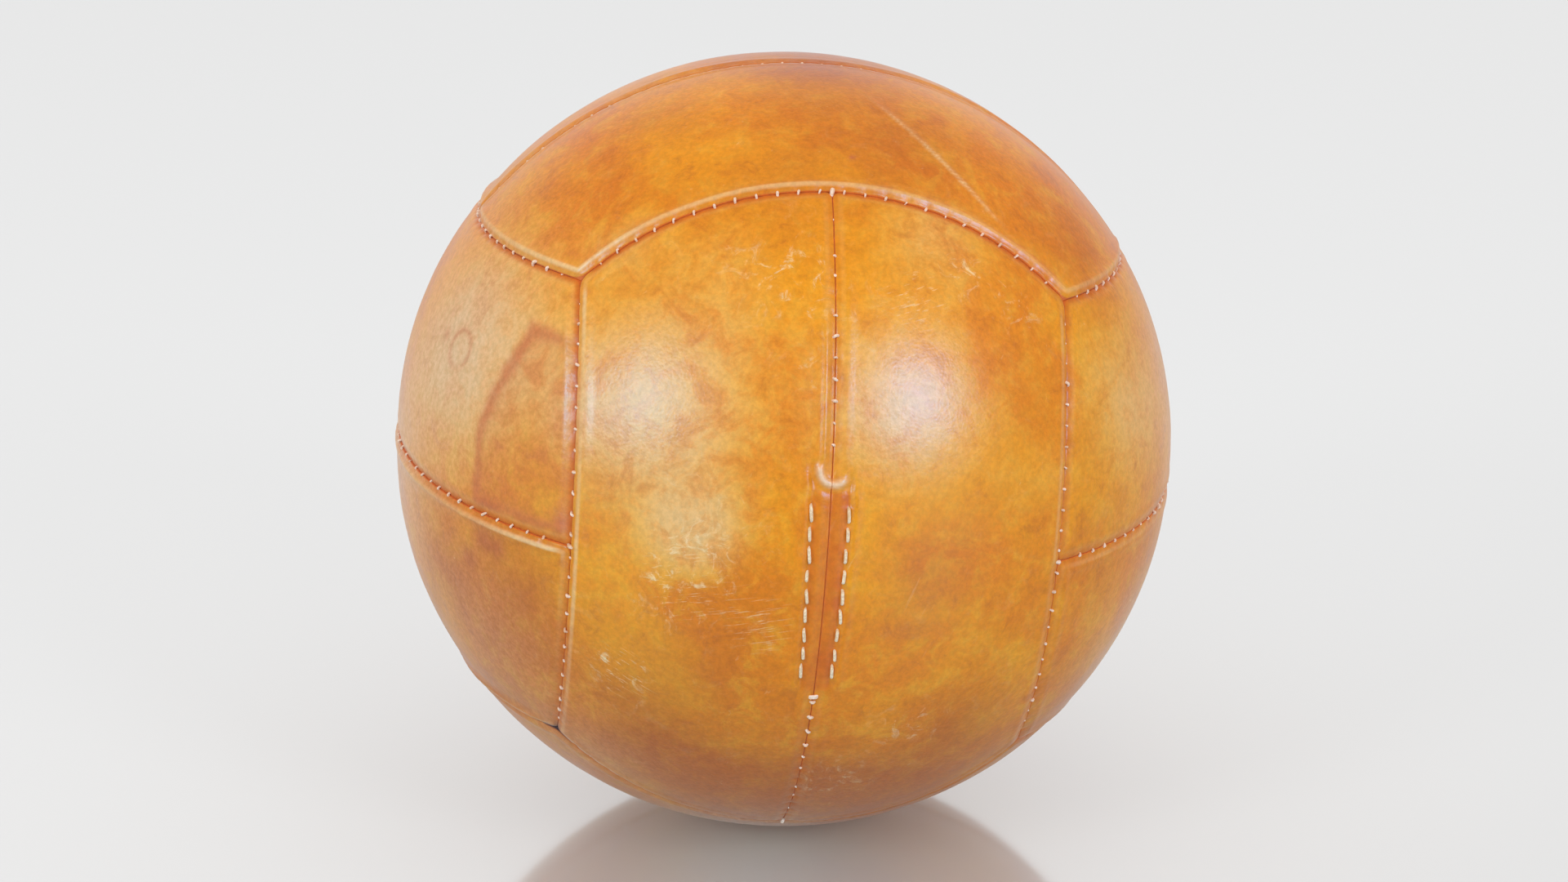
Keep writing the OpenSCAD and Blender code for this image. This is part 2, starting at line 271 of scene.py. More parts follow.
# How high the rim of a proud panel is rolled up beside its seam, where it is not USUAL_CREST
CRESTS = {"top_front": 0.75, "top_back": 0.75, "left_lower": 0.80, "right_lower": 0.40}
USUAL_CREST = 0.25
ROLL_R = 2.4
ROLL_STEPS = 7
CORNER_R = 2.6
RIM = 13.0


def rolled_edge(d, radius):
    """Depth of a rounded edge at distance d from it."""
    inside = radius - np.clip(d, 0, radius)
    return np.sqrt(np.maximum(radius**2 - inside**2, 0)) - radius


def seam_height(seams, points, crest):
    """Leather pulled down at its seams: a rolled edge, then a soft ridge, puckered at stitches.
    Gives the height, and how proud each point's panel stands of its neighbour, from -1 to 1."""
    d = seams.nearest
    pride = seams.blend(seams.pride)
    gap = [nearest(s, a) for s, a in zip(seams.stitches, seams.along)]
    pucker = seams.blend([bell(g, 1.2) for g in gap])
    roll = rolled_edge(d, 0.50 + 0.28 * pride)
    waver = noise(points, 22, 11)
    proud = np.maximum(pride, 0)
    ridge = (0.26 + 0.16 * waver) * bell(d - 4.3 - 0.4 * waver, 1.7)
    ridge += crest * proud * (1 + 0.3 * waver) * bell(d - 2.6, 1.2)
    sag = -(0.50 - 0.45 * pride) * np.exp(-np.maximum(d, 0) / 2.6)
    hollow = -0.45 * np.exp(-np.maximum(d, 0) / 13)
    pull = -0.30 * pucker * bell(d - 0.8, 1.6)
    return roll + ridge + sag + hollow + pull + 0.5 * np.minimum(d, 0), pride


def row_holes(along):
    """1 where the long stitches enter the leather and 0 between."""
    phase = (along - SLIT_BOTTOM - ROW_MARGIN) / ROW_PITCH
    return bell((phase - np.round(phase)) * ROW_PITCH, 0.9)


def slit_height(along, x):
    """The front face round the filling slit: a sunken strip between the two rows."""
    across = np.abs(x)
    row = row_offset(along)
    strip = -0.85 * (1 - smooth(across, row - 1.0, row + 1.3))
    swell = 0.30 * bell(across - row / 2, 1.6)
    welt = 0.40 * bell(across - row - 2.4, 1.3) * (1 - smooth(along, SLIT_TOP - 2, SLIT_TOP + 4))
    channel = -(0.25 + 0.60 * row_holes(along)) * bell(across - row, 0.75)
    wrinkle = 0.28 * bell(along - SLIT_TOP + 4.5, 1.0) * (across < row)
    return rolled_edge(across, 0.6) + strip + swell + welt + channel + wrinkle


def lip_height(along, x):
    """The pucker above the slit: the closed seam swells and ends in a lip like a tilted U.
    Gives the height, and a mark from 0 to 1 on the lip itself, where a pale highlight is painted."""
    ring = np.hypot(x - 0.6, along - LIP_AT) - LIP_R
    lower = 1 - smooth(along + 0.45 * x, LIP_AT - 2.5, LIP_AT + 1.0)
    lip = 1.35 * bell(ring, 1.05) * lower
    below = -0.55 * bell(ring - 2.6, 1.2) * lower
    # the seam is gathered into a fold on both sides, the larger one on the left
    fold = (0.50 - 0.35 * np.sign(x)) * bell(np.abs(x) - 2.9, 1.2)
    fold *= smooth(along, LIP_AT - 2, LIP_AT + 5) * (1 - smooth(along, 78, 96))
    return lip + below + fold, bell(ring, 1.05) * lower


def panel_shape(local, matrix, name):
    """The outer face of a panel, as points in millimetres, and the attributes for its paint."""
    face, side, _ = PANELS[name]
    ball = local @ matrix.T
    points = ball * BALL_R
    in_front = face == FRONT
    middle_stitches = np.concatenate([lower_places, upper_places]) if in_front else middle_places
    if in_front and side == RIGHT:
        middle_stitches = -middle_stitches
    seams = Seams(local, matrix, middle_stitches)
    height, pride = seam_height(seams, points, CRESTS.get(name, USUAL_CREST))
    paint = {"seam_mm": seams.nearest.copy(), "pride": pride}
    if in_front:
        along = np.arctan2(ball[:, 2], -ball[:, 1]) * BALL_R
        x = points[:, 0]
        near_slit = smooth(along, SLIT_BOTTOM - 4, SLIT_BOTTOM + 1)
        near_slit *= 1 - smooth(along, LIP_AT - 4, LIP_AT + 2)
        near_slit *= 1 - smooth(np.abs(x), 14, 22)
        height += (slit_height(along, x) - height) * near_slit
        lip, paint["lip"] = lip_height(along, x)
        height += lip
        paint["seam_mm"] += 1.2 * smooth(paint["lip"], 0.1, 0.6)
        strip = 1 - smooth(np.abs(x), row_offset(along) - 0.8, row_offset(along) + 0.6)
        strip *= smooth(along, SLIT_BOTTOM - 3, SLIT_BOTTOM)
        strip *= 1 - smooth(along, SLIT_TOP, SLIT_TOP + 3)
        paint["strip"] = strip * (0.75 + 0.45 * smooth(x, -0.2, 0.4))
        # painted shade: the holes where the long stitches dive read as seam, so they take the seam's dark
        # red
        stitch_hole_shade = bell(np.abs(x) - row_offset(along), 1.0) * row_holes(along)
        paint["seam_mm"] -= 2.5 * smooth(stitch_hole_shade, 0.35, 0.8) * (along > SLIT_BOTTOM) * (along < SLIT_TOP)
    height += 0.20 * layered_noise(points, 46, 3, 21) + 0.05 * layered_noise(points, 8, 2, 31)
    crease = crease_mark(ball)
    height += 0.25 * crease
    paint.update(marks(ball, points, name, seams))
    paint["crease"] = crease
    return ball * (BALL_R + height)[:, None], paint


# ---- Marks of wear, and painted highlight, sheen and shade ----------------------------------

# Pale rubbed places: (azimuth, elevation, radius in mm, strength)
RUBBED = [
    (-5, 40, 9, 1.0), (-11, 42, 15, 0.6), (24, 41, 8, 1.0), (16, -23, 9, 0.9),
    (-18, 5, 20, 0.6), (0, 30, 16, 0.5), (-20, -2, 16, 0.55), (-28, -17, 11, 0.6),
    (33, 36, 9, 0.7), (6, -36, 12, 0.5), (60, -12, 12, 0.6), (150, 20, 22, 0.7),
    (200, -10, 20, 0.8), (110, 35, 18, 0.6), (250, 10, 20, 0.7), (180, 60, 18, 0.6),
]
# Broad lighter areas: partly the hide's paler tone, and partly painted highlight where the lamps'
# highlights fall and painted sheen on the sides
PALE_AND_HIGHLIT = [
    (-26, 19, 34, 0.85), (10, 23, 27, 0.75), (-62, 22, 36, 0.95), (54, 18, 34, 0.6),
    (-17, 5, 17, 0.66), (-20, 42, 26, 0.35), (20, 47, 24, 0.55), (-40, 42, 16, 0.35),
    (30, 12, 20, 0.25), (130, -15, 45, 0.5), (215, 25, 45, 0.5),
]
# Broad darker, redder areas: partly the hide's own tone, and partly painted shade on the lower half, the
# underside and the very top
DARK_AND_SHADED = [
    (15, 2, 26, 0.30), (-14, -12, 26, 0.35), (-21, -30, 30, 0.75), (8, -42, 36, 0.85), (22, -26, 24, 0.45),
    (-52, -22, 44, 0.42), (52, -30, 34, 0.38), (-10, 62, 34, 0.30), (28, 66, 24, 0.32),
    (173, 74, 46, 0.9), (0, 86, 26, 0.70), (-4, -62, 34, 0.5), (12, -52, 32, 0.30), (45, -8, 18, 0.2),
    (100, -30, 40, 0.5), (170, -35, 45, 0.6), (240, -30, 40, 0.5), (180, 5, 30, 0.3),
]
# Bundles of fine scratches: (azimuth, elevation, radius in mm, +1 rising or -1 falling)
SCRATCHED = [
    (-19, -1, 15, 1), (-27, -17, 13, -1), (-8, -6, 11, 1), (14, 38, 12, 1), (170, 10, 20, 1),
]
# Dusty places, which also stand for painted sheen: a pale film on the rims and the underside
DUST_AND_SHEEN_PLACES = [
    (-66, 19, 38, 0.45), (-84, -2, 38, 0.50), (-10, -66, 34, 0.50), (-40, -40, 26, 0.15),
    (-55, -20, 34, 0.15), (66, -22, 34, 0.35), (74, 16, 36, 0.36), (-36, 18, 12, 0.25),
    (10, 25, 16, 0.20), (190, 0, 60, 0.25),
]
# Where the rims of the panels are painted palest: partly wear, and partly a painted highlight on the
# rolled ridge
WORN_AND_HIGHLIT_EDGES = [
    (-48, 42, 34, 0.6), (-7, 52, 34, 0.25), (-40, -4, 30, 0.6), (150, 50, 40, 0.4), (220, -30, 40, 0.4),
]
# Where a seam has begun to open, shown only by a painted shadow in the gap: the panels are not parted
OPEN_SEAM_SHADOW_PLACES = [(-46, -36.2, 6.5, 1.0), (-52, -35.4, 8.0, 0.9)]


def away(ball, azimuth, elevation):
    """How far each direction is from a place, in millimetres along the surface."""
    return BALL_R * np.arccos(np.clip(ball @ place(azimuth, elevation), -1, 1))


def spots(ball, rows):
    total = np.zeros(len(ball))
    for azimuth, elevation, radius, strength in rows:
        total += strength * bell(away(ball, azimuth, elevation), radius)
    return total


def crease_mark(ball):
    """A long soft crease across the top panel, from near the top towards the right."""
    start, end = place(24, 76), place(38, 47)
    normal = np.cross(start, end)
    normal /= np.linalg.norm(normal)
    t = (ball @ (end - start)) / np.dot(end - start, end - start)
    t -= np.dot(start, end - start) / np.dot(end - start, end - start)
    bow = 3.0 * np.sin(math.pi * np.clip(t, 0, 1))
    off = ball @ normal * BALL_R + bow
    return bell(off, 1.1) * smooth(t, -0.05, 0.25) * (1 - smooth(t, 0.75, 1.1))


def water_stain(ball, points, seams):
    """A tide mark on the upper left panel: a darker pool with a redder rim."""
    side = seams.distance[2]
    waver = 2.5 * noise(points, 14, 41) + 1.2 * noise(points, 5, 42)
    t = points[:, 2]
    width = 45 - 0.0078 * np.maximum(t - 7, 0) ** 2 + 0.6 * waver
    edge = np.minimum(width - side, 65 + 0.4 * waver - t)
    edge = np.minimum(edge, t - 3.0 + 0.3 * waver)
    on_front_edge = ball[:, 1] < 0
    pool = smooth(edge, -1.2, 1.5) * on_front_edge
    rim = bell(edge - 2.0, 2.3) * on_front_edge * smooth(side, 2, 8)
    corner = bell(side - 4, 5) * bell(t - 9 + 0.5 * side, 5)
    return pool, np.maximum(rim, 1.3 * corner)


def marks(ball, points, name, seams):
    """Attributes that the leather's paint reads, each from about 0 to 1."""
    soft = 0.35 * layered_noise(points, 30, 3, 51)
    # paler hide, with painted highlight and painted sheen where the lamps' highlights fall
    light = spots(ball, PALE_AND_HIGHLIT)
    # painted shade: darker and redder towards the bottom of the ball, on top of the spots
    dark = spots(ball, DARK_AND_SHADED) + 0.45 * smooth(-points[:, 2], 58, 92)
    rubbed = spots(ball, RUBBED)
    stain = np.zeros(len(ball))
    rim = np.zeros(len(ball))
    if name == "left_upper":
        stain, rim = water_stain(ball, points, seams)
        ring = away(ball, -64, 20)
        rim = np.maximum(rim, 0.75 * bell(ring - 6.5, 1.1) * smooth(noise(points, 6, 43), -0.9, 0.2))
        rim = np.maximum(rim, 0.75 * bell(away(ball, -69.5, 20.5), 2.6))
        dark = dark - 0.25 * smooth(points[:, 2], 10, 60)
    if name == "left_lower":
        smear = bell(away(ball, -51, -3.5), 4.5) + 0.8 * bell(away(ball, -54, -7), 4.0)
        smear = np.clip(smear + 0.7 * bell(away(ball, -48, -4), 4.0), 0, 1)
        rim = np.maximum(rim, 0.6 * smear)
        dark = dark + 0.7 * smear + 0.15 + 0.3 * bell(away(ball, -42, -8), 18)
    if name == "top_front":
        rim = np.maximum(rim, 1.6 * bell(away(ball, 6.3, 60.9), 1.0))
    scratch = sum(way * bell(away(ball, az, el), radius) for az, el, radius, way in SCRATCHED)
    return {
        "open_seam_shadow": np.clip(spots(ball, OPEN_SEAM_SHADOW_PLACES), 0, 1),
        "dust_and_sheen": np.clip(spots(ball, DUST_AND_SHEEN_PLACES), 0, 1),
        "worn_and_highlit_edge": np.clip(0.40 + spots(ball, WORN_AND_HIGHLIT_EDGES), 0, 1),
        "light": np.clip(light + 0.4 * soft - 0.06, 0, 1),
        "dark": np.clip(dark - soft, 0, 1),
        "rubbed": np.clip(rubbed + 0.20, 0, 1),
        "stain": stain,
        "stain_rim": rim,
        "scratch": scratch,
    }


# ---- Panel meshes ---------------------------------------------------------------------------

def edge_spacing(length, fine, coarse):
    """Places from 0 to 1 along a length, close together within RIM of its ends."""
    roll = ROLL_R * (1 - np.cos(np.linspace(0, math.pi / 2, ROLL_STEPS + 1)))
    near = np.arange(ROLL_R + fine, RIM, fine)
    middle = np.linspace(RIM, length - RIM, int(round((length - 2 * RIM) / coarse)) + 1)
    rim = np.concatenate([roll, near])
    return np.concatenate([rim, middle, (length - rim)[::-1]]) / length


def grid_faces(index):
    corners = (index[:-1, :-1], index[:-1, 1:], index[1:, 1:], index[1:, :-1])
    return np.stack(corners, -1).reshape(-1, 4)


def outline(index):
    """The indices round a grid's border, in order."""
    return np.concatenate([index[0, :-1], index[:-1, -1], index[-1, :0:-1], index[:0:-1, 0]])


def every(values, step):
    """Every few of values, with the last one always there."""
    picked = np.arange(0, len(values), step)
    if picked[-1] != len(values) - 1:
        picked = np.append(picked, len(values) - 1)
    return picked


def bridge(fine, coarse, fine_at):
    """Triangles between two closed borders. fine_at says which fine vertex faces each coarse one."""
    faces = []
    for j in range(len(coarse)):
        start, stop = fine_at[j], fine_at[(j + 1) % len(coarse)]
        stop += len(fine) if stop <= start else 0
        here, there = coarse[j], coarse[(j + 1) % len(coarse)]
        middle = (start + stop) // 2
        for k in range(start, stop):
            tip = here if k < middle else there
            faces.append((fine[k % len(fine)], tip, fine[(k + 1) % len(fine)]))
        faces.append((fine[middle % len(fine)], here, there))
    return [tuple(int(i) for i in f) for f in faces]


INNER_STEP = 4
# The turned-in edge, from the rolled rim down and back: (inset from the seam, depth in the ball)
FLANGE = [
    (SEAM_GAP, 5.4),
    (SEAM_GAP, TURN_IN),
    (SEAM_GAP + LEATHER_T, TURN_IN),
    (SEAM_GAP + LEATHER_T, 4.6),
    (SEAM_GAP + LEATHER_T + 0.8, LEATHER_T + 0.6),
]
INNER_INSET = SEAM_GAP + LEATHER_T + 2.4
# What the leather's paint reads at each vertex
ATTRIBUTES = (
    "seam_mm", "pride", "strip", "lip", "open_seam_shadow", "dust_and_sheen", "worn_and_highlit_edge",
    "light", "dark", "rubbed", "stain", "stain_rim", "scratch", "crease",
)
# The distance to a seam, in millimetres, that stands for the turned-in and inner leather
IN_THE_SEAM = -3


def build_panel(name):
    """A leather panel as one closed shell: outer face, turned-in edge and inner face."""
    face, side, _ = PANELS[name]
    matrix = turn(side, face)
    coarse = 0.75 if face == FRONT else 1.15
    u = 2 * edge_spacing(2 * FACE_HALF * EDGE_RING_R, 0.7, coarse) - 1
    v = edge_spacing(EDGE_LAT * BALL_R, 0.6, 1.2)
    uu, vv = np.meshgrid(u, v)
    local = patch_directions(uu.ravel(), vv.ravel(), SEAM_GAP)
    outer, paint = panel_shape(local, matrix, name)
    index = np.arange(uu.size).reshape(uu.shape)
    rim = outline(index)
    verts, quads = [outer], [grid_faces(index)]
    last, count = rim, len(outer)
    for inset, depth in FLANGE:
        ring = patch_directions(uu.ravel()[rim], vv.ravel()[rim], inset) @ matrix.T
        verts.append(ring * (BALL_R - depth))
        now = count + np.arange(len(rim))
        quads.append(np.stack([last, now, np.roll(now, -1), np.roll(last, -1)], -1))
        last, count = now, count + len(rim)
    iu, iv = every(u, INNER_STEP), every(v, INNER_STEP)
    inner_u, inner_v = np.meshgrid(u[iu], v[iv])
    inner = patch_directions(inner_u.ravel(), inner_v.ravel(), INNER_INSET) @ matrix.T
    verts.append(inner * (BALL_R - LEATHER_T - 0.4))
    inner_index = count + np.arange(len(inner)).reshape(inner_u.shape)
    quads.append(grid_faces(inner_index)[:, ::-1])
    place_of = {int(vertex): k for k, vertex in enumerate(rim)}
    opposite = [place_of[int(i)] for i in outline(index[np.ix_(iv, iu)])]
    faces = np.concatenate(quads).tolist() + bridge(last, outline(inner_index), opposite)
    ob = make_object("leather_" + name, np.concatenate(verts), faces)
    for key in ATTRIBUTES:
        values = np.zeros(len(ob.data.vertices), np.float32)
        values[: len(outer)] = paint.get(key, 0)
        if key == "seam_mm":
            values[len(outer) :] = IN_THE_SEAM
        ob.data.attributes.new(key, "FLOAT", "POINT").data.foreach_set("value", values)
    return ob


def make_object(name, points, faces):
    """A smooth-shaded object from points in millimetres."""
    mesh = bpy.data.meshes.new(name)
    mesh.from_pydata((np.asarray(points) * MM).tolist(), [], faces)
    mesh.polygons.foreach_set("use_smooth", np.ones(len(faces), bool))
    mesh.update()
    ob = bpy.data.objects.new(name, mesh)
    bpy.context.scene.collection.objects.link(ob)
    return ob


# ---- Threads --------------------------------------------------------------------------------

class Shape:
    """Points and faces gathered from several tubes, then made into one object."""

    def __init__(self):
        self.points, self.faces = [], []

    def tube(self, path, radius, sides=8):
        """A tube along path (n, 3) with a radius, or one radius per point."""
        path = np.asarray(path, float)
        count = len(path)
        radius = np.broadcast_to(radius, count)
        tangent = np.gradient(path, axis=0)
        tangent /= np.linalg.norm(tangent, axis=1, keepdims=True)
        normal = np.cross(tangent[0], path[0])
        angles = 2 * math.pi * np.arange(sides) / sides
        base = len(self.points)
        for k in range(count):
            normal = normal - tangent[k] * (normal @ tangent[k])
            normal /= np.linalg.norm(normal)
            binormal = np.cross(tangent[k], normal)
            ring = np.outer(np.cos(angles), normal) + np.outer(np.sin(angles), binormal)
            self.points += list(path[k] + radius[k] * ring)
        for k in range(count - 1):
            for s in range(sides):
                a, b = base + k * sides + s, base + k * sides + (s + 1) % sides
                self.faces.append((a, b, b + sides, a + sides))
        self.faces.append(tuple(base + s for s in reversed(range(sides))))
        self.faces.append(tuple(base + (count - 1) * sides + s for s in range(sides)))

    def make(self, name):
        return make_object(name, self.points, self.faces)


THREAD_R = 0.44
STITCH_HALF = 0.88
STITCH_TOP = -0.72
STITCH_LEAN = 0.40
ROW_THREAD_R = 0.56
ROW_STITCH_HALF = 2.70
TACK_HALF = 1.8
TACK_THREAD_R = 0.50
# How far from its ends a seam hides its thread, where it is not USUAL_END
USUAL_END = 11.0
DEEP_ENDS = {
    "front_middle_upper": 42.0, "front_middle_lower": 52.0, "front_right": 24.0,
    "front_bottom": 140.0, "top_middle": 140.0, "left_bottom": 110.0, "right_bottom": 110.0,
}
RUN_R = 0.35
RUN_OFFSET = 2.95
RUN_DEPTH = 3.4
rng = np.random.default_rng(7)


def seam_point(matrix, lat, along, across, height):
    """A point near a seam: along it, across it, and above or below the ball's surface."""
    azimuth = along / (BALL_R * math.cos(lat))
    latitude = lat + across / BALL_R
    flat = math.cos(latitude)
    local = np.array([flat * math.cos(azimuth), flat * math.sin(azimuth), math.sin(latitude)])
    return matrix @ local * (BALL_R + height)


def seam_stitch(shape, matrix, lat, at, size=1.0, sunk=0.0):
    """One stitch across a seam: it shows between the rolled edges and dives under both."""
    lean = STITCH_LEAN + rng.normal(0, 0.30)
    top = STITCH_TOP - sunk + rng.normal(0, 0.22)
    size = size * (1 + rng.normal(0, 0.16))
    t = np.linspace(-1, 1, 11)
    path = [
        seam_point(matrix, lat, at + lean * s, STITCH_HALF * s * size, top - 1.5 * abs(s) ** 1.7)
        for s in t
    ]
    shape.tube(path, THREAD_R * size * (1 - 0.2 * np.abs(t)))


def thread_run(shape, matrix, lat, start, end):
    """The thread's hidden run under the leather, on both sides of a seam."""
    places = np.linspace(start, end, max(8, int((end - start) / 4)))
    for side in (-1, 1):
        path = [seam_point(matrix, lat, at, side * RUN_OFFSET, -RUN_DEPTH) for at in places]
        shape.tube(path, RUN_R, 6)


def build_thread(name, axis, middle, lat, places):
    """The thread of one seam. It is drawn in deeper, out of sight, near the seam's ends."""
    matrix = turn(axis, middle)
    shape = Shape()
    end = EDGE_HALF_ARC * EDGE_RING_R if lat == EDGE_LAT else FACE_HALF * BALL_R
    hide = DEEP_ENDS.get(name, USUAL_END)
    for at in places:
        sunk = 0.75 * smooth(abs(at), end - hide - 3, end - hide + 3)
        seam_stitch(shape, matrix, lat, at, 1.0, sunk)
    halves = [places[places < 0], places[places > 0]]
    if lat == EDGE_LAT:
        # one large stitch where a middle seam ends on this one
        seam_stitch(shape, matrix, lat, 0.0, 1.5, -0.25)
    for half in halves:
        if len(half):
            thread_run(shape, matrix, lat, half.min() - 1.2, half.max() + 1.2)
    return shape.make("thread_" + name)


def front_point(along, x, height):
    """A point near the slit: up the seam, sideways, and above the ball's surface."""
    return seam_point(turn(RIGHT, FRONT), 0, -along, x, height)


def build_row(name, side):
    """A row of long stitches beside the slit. Each lies flat and dives at both ends."""
    shape = Shape()
    t = np.linspace(-1, 1, 17)
    for n in range(ROW_STITCHES):
        at = SLIT_BOTTOM + ROW_MARGIN + (n + 0.5) * ROW_PITCH + rng.normal(0, 0.15)
        x = side * (row_offset(at) + rng.normal(0, 0.15))
        half = ROW_STITCH_HALF + rng.normal(0, 0.30)
        lean = -0.15 + rng.normal(0, 0.15)
        dive = 2.6 * (np.maximum(0, np.abs(t) - 0.6) / 0.4) ** 1.6
        path = [front_point(at + half * s, x + lean * s, -0.10 - d) for s, d in zip(t, dive)]
        shape.tube(path, ROW_THREAD_R * (1 - 0.35 * np.abs(t) ** 4), 10)
    return shape.make("slit_row_" + name)


def build_tack():
    """The bar that ends the slit, sewn across the seam."""
    shape = Shape()
    t = np.linspace(-1, 1, 13)
    dive = 2.6 * (np.maximum(0, np.abs(t) - 0.55) / 0.45) ** 1.5
    for shift in (-0.32, 0.32):
        path = [
            front_point(TACK_AT + shift + 0.2 * s, TACK_HALF * s, -0.45 - d)
            for s, d in zip(t, dive)
        ]
        shape.tube(path, TACK_THREAD_R, 10)
    return shape.make("slit_tack")


# ---- Materials ------------------------------------------------------------------------------

class Paint:
    """A material's node tree, built by short calls."""

    def __init__(self, name):
        self.material = bpy.data.materials.new(name)
        self.material.use_nodes = True
        self.tree = self.material.node_tree
        self.tree.nodes.clear()
        self.shader = self.node("ShaderNodeBsdfPrincipled")
        self.output = self.node("ShaderNodeOutputMaterial")
        self.put(self.output.inputs["Surface"], self.shader.outputs[0])
        self.object = self.node("ShaderNodeTexCoord").outputs["Object"]

    def node(self, kind, **settings):
        made = self.tree.nodes.new(kind)
        for key, value in settings.items():
            setattr(made, key, value)
        return made

    def put(self, socket, value):
        if isinstance(value, bpy.types.NodeSocket):
            self.tree.links.new(value, socket)
        else:
            socket.default_value = value

    def set(self, **values):
        for key, value in values.items():
            self.put(self.shader.inputs[key.replace("_", " ")], value)

    def noise(self, scale, detail=4.0, roughness=0.55, distortion=0.0, at=None):
        n = self.node("ShaderNodeTexNoise")
        self.put(n.inputs["Vector"], at or self.object)
        n.inputs["Scale"].default_value = scale
        n.inputs["Detail"].default_value = detail
        n.inputs["Roughness"].default_value = roughness
        n.inputs["Distortion"].default_value = distortion
        return n.outputs["Fac"]

    def cells(self, scale):
        n = self.node("ShaderNodeTexVoronoi", feature="SMOOTH_F1")
        self.put(n.inputs["Vector"], self.object)
        n.inputs["Scale"].default_value = scale
        return n.outputs["Distance"]

    def stretched(self, turn_y, scale):
        """Object coordinates turned about Y, then scaled more one way than the other."""
        turned = self.node("ShaderNodeMapping")
        self.put(turned.inputs["Vector"], self.object)
        turned.inputs["Rotation"].default_value = (0, turn_y, 0)
        scaled = self.node("ShaderNodeMapping")
        self.put(scaled.inputs["Vector"], turned.outputs[0])
        scaled.inputs["Scale"].default_value = scale
        return scaled.outputs[0]

    def math(self, operation, a, b=0.0):
        n = self.node("ShaderNodeMath", operation=operation)
        self.put(n.inputs[0], a)
        self.put(n.inputs[1], b)
        return n.outputs[0]

    def times(self, *values):
        total = values[0]
        for value in values[1:]:
            total = self.math("MULTIPLY", total, value)
        return total

    def plus(self, *values):
        total = values[0]
        for value in values[1:]:
            total = self.math("ADD", total, value)
        return total

    def step(self, x, low, high, to_low=0.0, to_high=1.0):
        n = self.node("ShaderNodeMapRange", interpolation_type="SMOOTHSTEP")
        names = ("Value", "From Min", "From Max", "To Min", "To Max")
        for key, value in zip(names, (x, low, high, to_low, to_high)):
            self.put(n.inputs[key], value)
        return n.outputs[0]

    def mix(self, factor, a, b, blend="MIX"):
        n = self.node("ShaderNodeMix", data_type="RGBA", blend_type=blend)
        self.put(n.inputs[0], factor)
        for socket, value in ((n.inputs[6], a), (n.inputs[7], b)):
            self.put(socket, (*value, 1.0) if isinstance(value, tuple) else value)
        return n.outputs[2]

    def attribute(self, name):
        return self.node("ShaderNodeAttribute", attribute_name=name).outputs["Fac"]

    def bump(self, height, strength, distance):
        n = self.node("ShaderNodeBump")
        self.put(n.inputs["Height"], height)
        n.inputs["Strength"].default_value = strength
        n.inputs["Distance"].default_value = distance
        self.put(self.shader.inputs["Normal"], n.outputs[0])


AMBER = (0.78, 0.272, 0.003)
ORANGE = (0.70, 0.185, 0.003)
RUSSET = (0.46, 0.103, 0.010)
HONEY = (0.79, 0.350, 0.018)
STRAW = (0.735, 0.425, 0.170)
CREAM = (0.86, 0.62, 0.330)
LIP_HIGHLIGHT = (0.90, 0.66, 0.46)
DUST_AND_SHEEN = (0.76, 0.52, 0.36)
TIDE = (0.55, 0.135, 0.045)
SEAM_RED = (0.60, 0.120, 0.006)
SEAM_DARK = (0.68, 0.150, 0.020)
OPEN_SEAM_SHADOW = (0.045, 0.020, 0.022)


